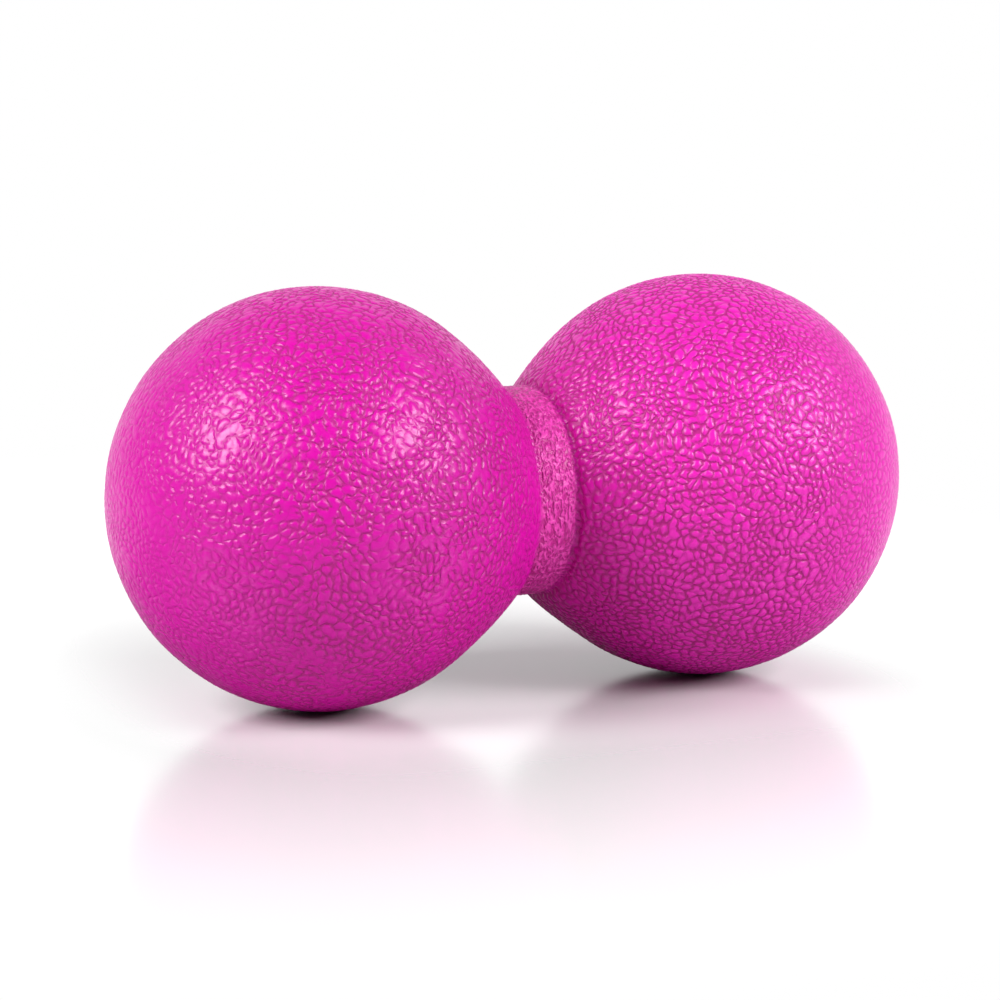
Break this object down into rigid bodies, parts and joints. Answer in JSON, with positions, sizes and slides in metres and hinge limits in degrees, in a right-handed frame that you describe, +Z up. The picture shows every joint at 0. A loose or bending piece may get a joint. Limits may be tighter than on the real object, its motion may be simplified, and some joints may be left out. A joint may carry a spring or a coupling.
{
  "type": "peanut massage ball",
  "caption": "Peanut-shaped massage ball: two textured solid rubber balls moulded in one piece with a narrow waist, rolled under the back, neck or legs.",
  "frame": {"origin": "centre of the waist, on the long axis", "axes": "+X along the piece from ball to ball, +Z up as it lies on a floor with both balls touching, +Y completes the right-handed set"},
  "size_m": [0.127, 0.063, 0.063],
  "materials": {
    "ball_rubber": "satin, moulded leather grain, magenta pink"
  },
  "bodies": {
    "root": {"peanut_ball": "ball_rubber"}
  },
  "joints": []
}
